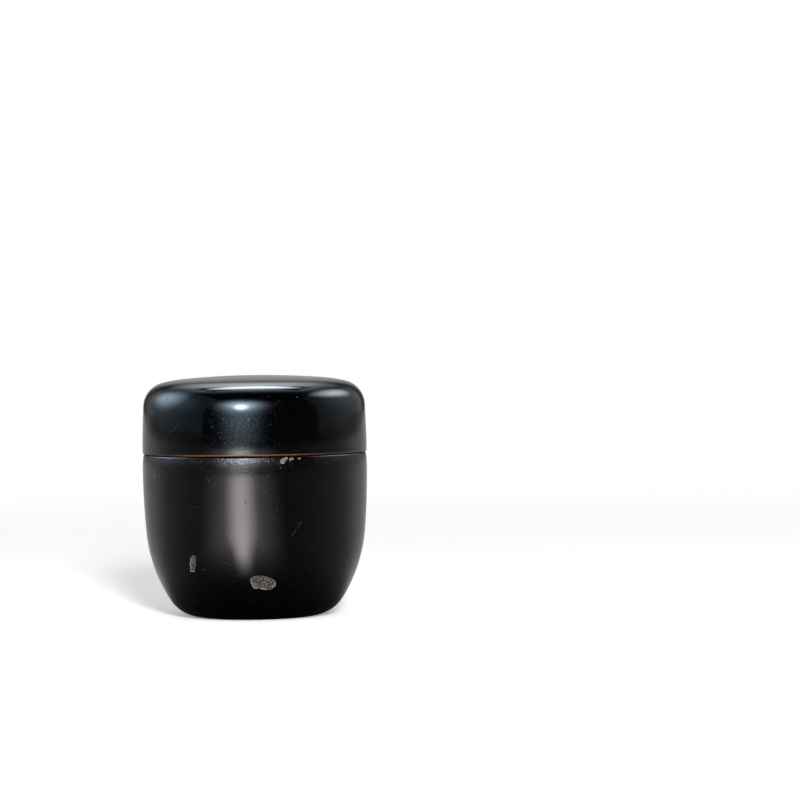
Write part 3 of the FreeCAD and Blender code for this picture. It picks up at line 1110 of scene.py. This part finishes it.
@dataclass
class CaddyBody(CaddyHalf):
    """The caddy's body: a turned bowl with a ledge and a standing rim, in its layers."""

    HALF = Half.BODY
    SLOTS = {
        "body_black_coat": "black_lacquer_body", "base_black_coat": "black_lacquer_body",
        "body_ground": "clay_ground", "body_red_lining": "red_lacquer", "body_core": "turned_wood",
        "body_mouth_cloth": "hemp_cloth", "body_foot_cloth": "hemp_cloth",
    }
    TORN = ("body_black_coat",)

    widest_below_seam: float = 4.2
    foot_inset: float = 16.65
    heel_radius: float = 10.75
    side_turn: float = 4.8
    belly_turn: float = 32.25
    bow_radius: float = 28.0
    ledge_edge: float = 0.76
    rim_outside: float = 30.8
    mouth: float = 29.4
    rim_top: float = 55.0
    rim_edge: float = 0.42
    foot_ring: float = 1.8
    dish_rise: float = 0.9
    ground: float = 0.34
    losses: tuple[tuple[Loss, ...], ...] = (
        (Loss(3.7, 11.7, (
            (-3.8, 0.9), (-3.2, 1.6), (-2.3, 2.2), (-0.5, 2.2), (0.3, 1.9), (1.3, 1.7), (2.3, 1.3),
            (3.3, 0.6), (3.7, -0.6), (3.6, -1.1), (3.0, -1.6), (2.5, -2.4), (0.5, -2.4), (-0.8, -2.0),
            (-2.9, -1.8), (-3.2, -1.0), (-3.5, 0.0))),),
        (Loss(-36.4, 17.2, (
            (-0.3, 1.9), (0.3, 2.4), (1.1, 2.5), (1.4, 2.0), (1.3, 1.0), (0.9, -0.8), (0.5, -1.1),
            (0.1, -2.6), (-1.5, -2.6), (-1.1, -0.8), (-1.4, -0.2), (-0.5, 0.7), (-0.7, 1.4))),),
        (
            Loss(14.5, 46.7, (
                (-1.1, -0.1), (-0.7, 0.4), (-0.1, 0.7), (0.5, 1.0), (1.2, 0.9), (1.2, 0.3), (0.7, 0.1),
                (0.4, -0.4), (0.1, -0.9), (-0.4, -1.0), (-0.9, -0.7))),
            Loss(18.5, 47.0, (
                (-0.7, 0.2), (-0.1, 0.6), (0.4, 0.6), (0.8, 0.2), (0.7, -0.2), (-0.1, -0.3), (-0.2, -0.7),
                (-0.6, -0.4))),
            Loss(22.6, 47.2, ((-0.7, 0.1), (0.0, 0.2), (0.5, 0.4), (0.6, 0.0), (0.1, -0.4), (-0.3, -0.2))),
        ),
    )

    def outside(self) -> list[Bend]:
        """The outside from the ledge's edge down to the foot, all tangent.

        Returns:
            Ledge edge, bow, side, belly and heel.
        """
        widest_height = self.seam - self.widest_below_seam
        bow_centre = (self.widest - self.bow_radius, widest_height)
        rise = self.widest_below_seam - self.ledge_edge
        reach = self.bow_radius - self.ledge_edge
        edge_centre = (bow_centre[0] + math.sqrt(reach**2 - rise**2), self.seam - self.ledge_edge)
        tip = math.asin(rise / reach)
        turns = (0.0, math.radians(self.side_turn), math.radians(self.belly_turn), QUARTER)
        inward = [math.cos(a) - math.cos(b) for a, b in zip(turns, turns[1:])]
        down = [math.sin(b) - math.sin(a) for a, b in zip(turns, turns[1:])]
        left_inward = self.foot_inset - self.heel_radius * inward[2]
        left_down = widest_height - self.heel_radius * down[2]
        cross = inward[0] * down[1] - inward[1] * down[0]
        side_radius = (left_inward * down[1] - inward[1] * left_down) / cross
        belly_radius = (inward[0] * left_down - left_inward * down[0]) / cross
        side = Bend((self.widest - side_radius, widest_height), side_radius, 0.0, -turns[1])
        joint = side.inset(belly_radius).at(1.0)
        return [
            Bend(edge_centre, self.ledge_edge, QUARTER, tip),
            Bend(bow_centre, self.bow_radius, tip, 0.0),
            side,
            Bend((joint.radius, joint.height), belly_radius, -turns[1], -turns[2]),
            Bend((self.widest - self.foot_inset, self.heel_radius), self.heel_radius, -turns[2], -QUARTER),
        ]

    def side_profile(self) -> Profile:
        """From the rim's foot over the ledge and down to the foot."""
        bends = self.outside()
        return Profile(Run((self.rim_outside, self.seam), (bends[0].centre[0], self.seam)), *bends)

    def base_profile(self) -> Profile:
        """From the foot's edge over its ring and up into the hollow of the underside.

        Returns:
            The profile.
        """
        foot = self.widest - self.foot_inset
        ring = foot - self.foot_ring
        radius = (ring**2 + self.dish_rise**2) / (2 * self.dish_rise)
        dish = Bend((0.0, self.dish_rise - radius), radius, math.acos(ring / radius), QUARTER)
        return Profile(Run((foot, 0.0), (ring, 0.0)), dish)

    def lining_profile(self) -> Profile:
        """From the middle of the tea space's floor up to the rim, over it, and down to the ledge.

        Returns:
            The profile.
        """
        wall = self.widest - self.mouth
        bowl = [bend.inset(wall).back() for bend in reversed(self.outside()[2:])]
        edge_height = self.rim_top - self.rim_edge
        inner, outer = self.mouth + self.rim_edge, self.rim_outside - self.rim_edge
        return Profile(
            Run((0.0, wall), (bowl[0].centre[0], wall)),
            *bowl,
            Run((self.mouth, bowl[-1].centre[1]), (self.mouth, edge_height)),
            Bend((inner, edge_height), self.rim_edge, 2 * QUARTER, QUARTER),
            Run((inner, self.rim_top), (outer, self.rim_top)),
            Bend((outer, edge_height), self.rim_edge, QUARTER, 0.0),
            Run((self.rim_outside, edge_height), (self.rim_outside, self.seam - self.coat)),
        )

    def layers(self) -> dict[str, TurnedLayer]:
        """The layers that show.

        Returns:
            The layers, by the CAD node that each one stands for.
        """
        side = self.side_profile()
        return {
            "body_black_coat": TurnedLayer("black_coat_of_body", side, self.coat, losses=self.losses),
            "body_ground": TurnedLayer(
                "clay_ground_of_body", side, self.ground, self.coat, self.losses, LossRule.GRAIN),
            "base_black_coat": TurnedLayer(
                "black_coat_of_base", self.base_profile(), self.coat, spacing=self.plain_spacing),
            "body_red_lining": TurnedLayer(
                "red_lining_of_body", self.lining_profile(), self.lining, spacing=self.plain_spacing),
        }


@dataclass
class CaddyLid(CaddyHalf):
    """The caddy's lid: a low dome with a rounded shoulder and a red lip, in its layers."""

    HALF = Half.LID
    SLOTS = {
        "lid_black_coat": "black_lacquer_lid", "lid_red_lining": "red_lacquer", "lid_ground": "clay_ground",
        "lid_core": "turned_wood", "lid_rim_cloth": "hemp_cloth",
    }

    top: float = 70.8
    widest_above_seam: float = 2.0
    bow_radius: float = 60.0
    side_lean: float = 1.2
    side_radius: float = 400.0
    shoulder_radius: float = 7.4
    crown_radius: float = 40.0
    crown_inset: float = 12.2
    dome_radius: float = 240.0
    lip_radius: float = 0.5
    wall: float = 2.05
    ceiling: float = 2.4
    inner_edge: float = 0.32

    def bends(self) -> list[Bend]:
        """The outside from the axis down to the seam, all tangent.

        Returns:
            Dome, crown, shoulder, side, bow and lip.
        """
        lean = math.radians(self.side_lean)
        bow_centre = Vector((self.widest - self.bow_radius, self.seam + self.widest_above_seam))
        side_centre = bow_centre + heading(lean) * (self.bow_radius - self.side_radius)
        dome_centre = Vector((0.0, self.top - self.dome_radius))
        dome_end = math.acos((self.widest - self.crown_inset) / self.dome_radius)
        crown_centre = dome_centre + heading(dome_end) * (self.dome_radius - self.crown_radius)

        # The shoulder is tangent to the side and to the crown.
        side_reach = self.side_radius - self.shoulder_radius
        crown_reach = self.crown_radius - self.shoulder_radius
        span = crown_centre - side_centre
        along = (span.length_squared + side_reach**2 - crown_reach**2) / (2 * span.length)
        aside = math.sqrt(side_reach**2 - along**2)
        way = span.normalized()
        shoulder = side_centre + way * along + Vector((-way.y, way.x)) * aside
        side_end, crown_end = (math.atan2(*(shoulder - centre).yx) for centre in (side_centre, crown_centre))

        reach, drop = self.bow_radius - self.lip_radius, self.widest_above_seam - self.lip_radius
        lip_centre = (bow_centre.x + math.sqrt(reach**2 - drop**2), self.seam + self.lip_radius)
        tip = -math.asin(drop / reach)
        return [
            Bend(tuple(dome_centre), self.dome_radius, QUARTER, dome_end),
            Bend(tuple(crown_centre), self.crown_radius, dome_end, crown_end),
            Bend(tuple(shoulder), self.shoulder_radius, crown_end, side_end),
            Bend(tuple(side_centre), self.side_radius, side_end, lean),
            Bend(tuple(bow_centre), self.bow_radius, lean, tip),
            Bend(lip_centre, self.lip_radius, tip, -QUARTER),
        ]

    def lining_profile(self) -> Profile:
        """From the lip's upper edge under the rim and up to the middle of the lid's inside.

        Returns:
            The profile.
        """
        lip = self.bends()[-1]
        bore = self.widest - self.wall
        shoulder = self.shoulder_radius - self.wall
        ceiling_radius = self.dome_radius - self.ceiling
        centre = self.top - self.dome_radius
        rise = math.sqrt((ceiling_radius - shoulder) ** 2 - (bore - shoulder) ** 2)
        tip = math.atan2(rise, bore - shoulder)
        edge_centre = (bore + self.inner_edge, self.seam + self.inner_edge)
        return Profile(
            lip,
            Run((lip.centre[0], self.seam), (edge_centre[0], self.seam)),
            Bend(edge_centre, self.inner_edge, -QUARTER, -2 * QUARTER),
            Run((bore, edge_centre[1]), (bore, centre + rise)),
            Bend((bore - shoulder, centre + rise), shoulder, 0.0, tip),
            Bend((0.0, centre), ceiling_radius, tip, QUARTER),
        )

    def layers(self) -> dict[str, TurnedLayer]:
        """The layers that show.

        Returns:
            The layers, by the CAD node that each one stands for.
        """
        return {
            "lid_black_coat": TurnedLayer("black_coat_of_lid", Profile(*self.bends()[:-1]), self.coat),
            "lid_red_lining": TurnedLayer(
                "red_lining_of_lid", self.lining_profile(), self.lining, spacing=self.plain_spacing),
        }


class LampUse(Enum):
    """What a lamp is for."""

    SHEEN = "it is mirrored in the lacquer"
    LIGHT = "it lights the surfaces"


class LampColour(Enum):
    """The colours of the lamps."""

    WHITE = (1.0, 1.0, 1.0)
    COOL_WHITE = (0.92, 0.96, 1.0)
    COOL = (0.88, 0.94, 1.0)
    PALE_BLUE = (0.85, 0.93, 1.0)
    SOFT_BLUE = (0.68, 0.84, 1.0)
    BLUE = (0.62, 0.82, 1.0)


@dataclass(frozen=True)
class Lamp:
    """A soft lamp, given by the way to it from the caddy, in degrees right of the camera and up."""

    name: str
    use: LampUse
    azimuth: float
    elevation: float
    distance: float
    width: float
    height: float
    radiance: float
    colour: LampColour = LampColour.WHITE
    core: float = 0.3
    peak: float = 0.0
    roll: float = 0.0
    aim_height: float = 0.04

    def build(self) -> None:
        """Makes the lamp, facing the caddy and fading from its core to its edge, unless the core fills it."""
        light = bpy.data.lights.new(self.name, "AREA")
        light.shape = "RECTANGLE"
        light.size, light.size_y = self.width, self.height
        light.energy = self.radiance * math.pi * self.width * self.height
        light.color = self.colour.value
        if self.core < 1.0:
            self._fade(light)
        lamp = placed(self.name, light)
        way = way_to(self.azimuth, self.elevation)
        lamp.location = Vector((0.0, 0.0, self.aim_height)) + way * self.distance
        facing = way.to_track_quat("Z", "Y") @ Quaternion((0.0, 0.0, 1.0), math.radians(self.roll))
        lamp.rotation_euler = facing.to_euler()
        lamp.visible_camera = False
        lamp.visible_glossy = self.use is LampUse.SHEEN
        lamp.visible_diffuse = self.use is LampUse.LIGHT

    def _fade(self, light: bpy.types.Light) -> None:
        """Lets the lamp's face fade to nothing at its edge, as a diffuser's does.

        Args:
            light: The lamp's light.
        """
        light.use_nodes = True
        b = Bench(light.node_tree)
        face = b.node("ShaderNodeNewGeometry").outputs["Parametric"]
        middle, half = (0.5, 0.5, 0.0), 0.5
        off = b.vector("DISTANCE", face, middle)
        shade = b.ramp(off, half * self.core, half, 1.0, 0.0)
        if self.peak:
            shade = b.maths("POWER", b.maths("MULTIPLY_ADD", off, -1.0 / half, 1.0, clamp=True), self.peak)
        glow = next(n for n in b.tree.nodes if n.type == "EMISSION")
        b.feed(glow, Strength=shade)


@dataclass
class Studio:
    """A plain white studio: a pale floor, a white surround that dims towards the camera, and soft lamps.

    The shades of the surround and the floor are what the lacquer mirrors, from the camera's side (-1) to the
    back (1). Spans on the floor are distances from the caddy's axis, in millimetres. The glint's core and
    skirt are given by their half width in degrees and their strength.
    """

    floor_radius: float = 6.0
    floor_corners: int = 64
    floor_roughness: float = 0.9
    floor_colour: Colour = (1.35, 1.35, 1.35)
    floor_lift: float = 0.3
    floor_bounce: Colour = (0.3, 0.3, 0.3)
    floor_tint: Colour = (1.0, 0.955, 0.935)
    floor_shades: tuple[Point, ...] = (
        (-0.9, 0.06), (-0.6, 0.12), (-0.3, 0.19), (0.1, 0.28), (0.3, 0.4), (0.5, 0.54), (1.0, 0.5),
    )
    clear: Span = (250.0, 800.0)
    foot_shade: Span = (12.0, 60.0)
    glint_turn: float = -15.0
    glint_aside: float = 5.0
    glint_core: Span = (18.0, 6.0)
    glint_skirt: Span = (44.0, 1.5)
    glint_narrow: Span = (40.0, 145.0)
    glint_pinch: float = 0.5
    core_near: Span = (40.0, 75.0)
    skirt_near: Span = (34.0, 105.0)
    glint_far: Span = (1000.0, 2000.0)
    surround_light: float = 0.3
    surround_shades: tuple[Point, ...] = (
        (-0.7, 0.02), (-0.4, 0.04), (0.0, 0.1), (0.6, 0.16), (0.8, 0.26), (0.85, 0.24), (0.91, 0.07),
        (0.965, 0.14), (0.985, 0.4), (1.0, 0.45),
    )
    surround_rise: Span = (0.3, 0.6)
    surround_top: float = 0.2
    steepest: float = 0.01
    lamps: tuple[Lamp, ...] = (
        Lamp("key", LampUse.SHEEN, -13.5, 15.7, 1.1, 0.38, 0.28, 20.0, LampColour.COOL_WHITE),
        Lamp("key_glow", LampUse.SHEEN, -13.5, 20.0, 1.1, 1.8, 1.28, 30.0, LampColour.SOFT_BLUE, peak=4.0),
        Lamp("overhead", LampUse.SHEEN, 182.0, 76.0, 1.0, 0.95, 0.46, 17.0, LampColour.COOL_WHITE),
        Lamp("overhead_glow", LampUse.SHEEN, 182.0, 76.0, 1.0, 2.4, 1.8, 14.0, LampColour.COOL, peak=4.0),
        Lamp("overhead_wide", LampUse.SHEEN, 182.0, 53.0, 1.0, 1.3, 1.0, 2.8, LampColour.COOL, core=0.0),
        Lamp("left", LampUse.SHEEN, -108.5, 28.0, 1.0, 1.1, 0.95, 4.6, LampColour.BLUE, core=0.0),
        Lamp("left_glow", LampUse.SHEEN, -100.0, 24.0, 1.0, 2.0, 1.0, 0.9, LampColour.BLUE, core=0.0),
        Lamp("left_panel", LampUse.SHEEN, -96.0, 27.0, 1.0, 1.93, 0.94, 0.22, LampColour.BLUE, core=1.0),
        Lamp("right", LampUse.SHEEN, 108.0, 38.0, 1.0, 1.2, 0.56, 7.5, LampColour.PALE_BLUE, core=0.0,
             roll=-18.0),
        Lamp("right_glow", LampUse.SHEEN, 106.0, 22.0, 1.0, 1.7, 1.0, 0.4, LampColour.PALE_BLUE, core=0.0),
        Lamp("right_panel", LampUse.SHEEN, 107.0, 26.0, 1.0, 1.74, 0.9, 0.14, LampColour.PALE_BLUE, core=1.0),
        Lamp("fill", LampUse.LIGHT, 5.5, 17.0, 1.6, 0.3, 0.55, 150.0),
    )

    def build(self) -> None:
        """Makes the floor, the surround and the lamps."""
        self._floor()
        self._surround()
        for lamp in self.lamps:
            lamp.build()

    def _floor(self) -> None:
        """A round floor, which fades to white away from the caddy and keeps the caddy's shadow beside it."""
        mesh = bpy.data.meshes.new("floor")
        corners = range(self.floor_corners)
        turns = [2 * math.pi * k / self.floor_corners for k in corners]
        rim = [(math.cos(a) * self.floor_radius, math.sin(a) * self.floor_radius, 0.0) for a in turns]
        mesh.from_pydata(rim, [], [tuple(corners)])
        floor = placed("floor", mesh)
        b = FinishBench("studio_floor")
        b.finish(Base_Color=self.floor_bounce, Roughness=self.floor_roughness)
        bounce = b.shader.outputs["BSDF"]
        gap = b.vector("LENGTH", b.place)
        lit = b.node("ShaderNodeBsdfDiffuse", Color=self.floor_colour).outputs[0]
        lift, far = (b.node("ShaderNodeEmission", Strength=s).outputs[0] for s in (self.floor_lift, 1.0))
        near = b.node("ShaderNodeAddShader", lit, lift).outputs[0]
        seen = b.blend(b.ramp(gap, *self.clear), near, far)
        path = b.node("ShaderNodeLightPath").outputs
        other = b.blend(path["Is Glossy Ray"], bounce, self._mirrored_floor(b, gap))
        b.feed(b.output, Surface=b.blend(path["Is Camera Ray"], other, seen))
        mesh.materials.append(b.material)

    def _mirrored_floor(self, b: FinishBench, gap: Socket) -> Socket:
        """The floor as the lacquer mirrors it, with the path of the key lamp's glint on it.

        Args:
            b: The floor's bench.
            gap: The distance from the caddy's axis, in millimetres.

        Returns:
            The shader.
        """
        front = b.maths("COSINE", b.turn)
        plain = b.weigh(b.shades(b.weigh(front, -1.0), self.floor_shades), b.ramp(gap, *self.foot_shade))
        forward = b.weigh(front, gap)
        turn = b.maths("ARCTAN2", b.maths("SUBTRACT", b.across, self.glint_aside), forward)
        off = b.maths("ABSOLUTE", b.maths("SUBTRACT", turn, math.radians(self.glint_turn)))
        drawn = b.maths("DIVIDE", off, b.ramp(gap, *self.glint_narrow, self.glint_pinch, 1.0))
        parts = ((drawn, self.glint_core, self.core_near), (off, self.glint_skirt, self.skirt_near))
        core, skirt = (b.weigh(b.ramp(aside, 0.0, math.radians(width), shade, 0.0), b.ramp(gap, *near))
                       for aside, (width, shade), near in parts)
        shade = b.total(plain, b.weigh(b.total(core, skirt), b.ramp(gap, *self.glint_far, 1.0, 0.0)))
        return b.node("ShaderNodeEmission", Color=self.floor_tint, Strength=shade).outputs[0]

    def _surround(self) -> None:
        """White behind everything, and dimmer towards the camera's side in what the lacquer mirrors."""
        world = bpy.data.worlds.new("studio")
        bpy.context.scene.world = world
        world.use_nodes = True
        b = Bench(world.node_tree)
        b.tree.nodes.clear()
        place = b.node("ShaderNodeTexCoord").outputs["Generated"]
        way = b.node("ShaderNodeSeparateXYZ", Vector=place).outputs
        level = b.maths("SQRT", b.maths("MULTIPLY_ADD", way["Z"], b.weigh(way["Z"], -1.0), 1.0))
        back = b.maths("DIVIDE", way["Y"], b.maths("MAXIMUM", level, self.steepest))
        dimmed = b.ramp(way["Z"], *self.surround_rise, 1.0, self.surround_top)
        shade = b.weigh(b.shades(back, self.surround_shades), dimmed)
        lit, mirrored, seen = (
            b.node("ShaderNodeBackground", Color=(1.0, 1.0, 1.0), Strength=strength).outputs[0]
            for strength in (self.surround_light, shade, 1.0)
        )
        path = b.node("ShaderNodeLightPath").outputs
        other = b.blend(path["Is Glossy Ray"], lit, mirrored)
        b.node("ShaderNodeOutputWorld", Surface=b.blend(path["Is Camera Ray"], other, seen))


@dataclass(frozen=True)
class PhotoCamera:
    """The camera at the photograph's angle. The caddy stands left of and below the middle of the picture."""

    lens: float = 152.73
    distance: float = 1.00184
    elevation: float = 2.826
    look_height: float = 0.035
    pan: float = 2.438
    tilt: float = 1.6276
    roll: float = 0.8745

    def build(self) -> None:
        """Makes the camera and gives it to the scene."""
        data = bpy.data.cameras.new("photo_camera")
        data.lens = self.lens
        camera = placed("photo_camera", data)
        place = way_to(0.0, self.elevation) * self.distance + Vector((0.0, 0.0, self.look_height))
        angles = (self.elevation, self.roll, self.pan, self.tilt)
        rise, roll, pan, tilt = (math.radians(angle) for angle in angles)
        turn = Matrix.Rotation(QUARTER - rise, 4, "X") @ Matrix.Rotation(-roll, 4, "Z")
        turn = turn @ Matrix.Rotation(-pan, 4, "Y") @ Matrix.Rotation(tilt, 4, "X")
        camera.matrix_world = Matrix.Translation(place) @ turn
        bpy.context.scene.camera = camera


LID_PALE = (
    Mark((-50.7, 53.7), (-41.5, 57.1), 0.09, 0.22),
    Mark((-23.3, 58.7), (-21.4, 56.4), 0.09, 0.2),
    Mark((-3.1, 58.6), (-2.6, 58.5), 0.17, 0.5),
    Mark((-16.1, 58.6), (-15.4, 58.8), 0.15, 0.45),
    Mark((22.4, 64.7), (22.8, 64.6), 0.17, 0.5),
)
# A nick on the lid, whose shade is painted as a darker colour.
LID_NICK_SHADE = (Mark((-50.9, 65.1), (-51.5, 64.1), 0.25),)
BODY_PALE = (
    Mark((23.5, 29.0), (19.8, 26.2), 0.1, 0.35),
    Mark((19.8, 26.2), (18.6, 25.1), 0.09, 0.22),
    Mark((-23.2, 17.3), (-21.8, 17.4), 0.14, 0.22),
    Mark((-20.2, 17.5), (-18.9, 17.4), 0.12, 0.18),
    Mark((-16.8, 17.6), (-15.2, 17.7), 0.14, 0.22),
    Mark((-64.5, 34.2), (-26.0, 33.4), 0.09, 0.12),
    Mark((-30.2, 15.5), (-29.8, 15.5), 0.2, 0.6),
    Mark((-44.3, 5.5), (-43.9, 5.5), 0.2, 0.6),
    Mark((-0.1, 40.6), (5.3, 37.6), 0.09, 0.14),
    Mark((-62.1, 43.6), (-62.2, 42.9), 0.5, 0.7),
    Mark((-62.3, 42.4), (-62.4, 41.6), 0.45, 1.0),
    Mark((-59.6, 47.1), (-59.4, 46.2), 0.22, 0.6),
    Mark((-27.4, 47.0), (-28.6, 46.4), 0.16, 0.35),
    Mark((55.4, 17.4), (62.5, 16.2), 0.12, 0.25),
    Mark((12.3, 45.4), (13.0, 44.4), 0.15, 0.5),
)
# Nicks and pits on the body, whose shade is painted as a darker colour.
BODY_NICK_SHADE = (
    Mark((-24.3, 41.7), (-23.6, 41.0), 0.35),
    Mark((-5.1, 35.0), (-5.0, 34.8), 0.4),
    Mark((-8.7, 14.9), (-5.9, 15.5), 0.35),
    Mark((-70.1, 28.0), (-70.0, 27.7), 0.4),
)


def finishes() -> dict[str, Material]:
    """Makes every finish.

    Returns:
        The materials, by the record's slot.
    """
    lid = BlackLacquer(
        "black_lacquer_of_lid", colour=(0.0002, 0.00025, 0.0004), worn=(0.05, 0.054, 0.06),
        sheen=(0.88, 0.95, 1.0), gloss=0.05, haze=0.3, veil=0.02, scratching=0.02, ripple=0.006,
        rubbing=0.006, specking=0.24, rings=0.0, edge_wear=0.0, pale_marks=LID_PALE, nick_shade_marks=LID_NICK_SHADE)
    body = BlackLacquer(
        "black_lacquer_of_body", colour=(0.0009, 0.0006, 0.0005), worn=(0.06, 0.054, 0.048),
        sheen=(1.0, 0.98, 0.98), gloss=0.11, haze=0.38, veil=0.05, scratching=0.03, ripple=0.008,
        rubbing=0.009, specking=0.14, rings=0.004, edge_wear=1.0, pale_marks=BODY_PALE, nick_shade_marks=BODY_NICK_SHADE)
    return {
        "black_lacquer_lid": lid.material(),
        "black_lacquer_body": body.material(),
        "red_lacquer": RedLacquer().material(),
        "clay_ground": ClayGround().material(),
        "broken_edge": BrokenEdge().material(),
        "hemp_cloth": HempCloth().material(),
        "turned_wood": TurnedWood().material(),
    }


def main() -> None:
    """Builds the caddy's looks round its CAD frame, and the studio that it stands in."""
    logging.basicConfig(level=logging.INFO, format="%(name)s: %(message)s")
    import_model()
    noise.seed_set(EDGE_SEED)
    made = finishes()
    for half in (CaddyBody(), CaddyLid()):
        half.dress(half.build(), made)
    Studio().build()
    PhotoCamera().build()
    bpy.context.scene.view_settings.view_transform = "Standard"


if __name__ == "__main__":
    main()
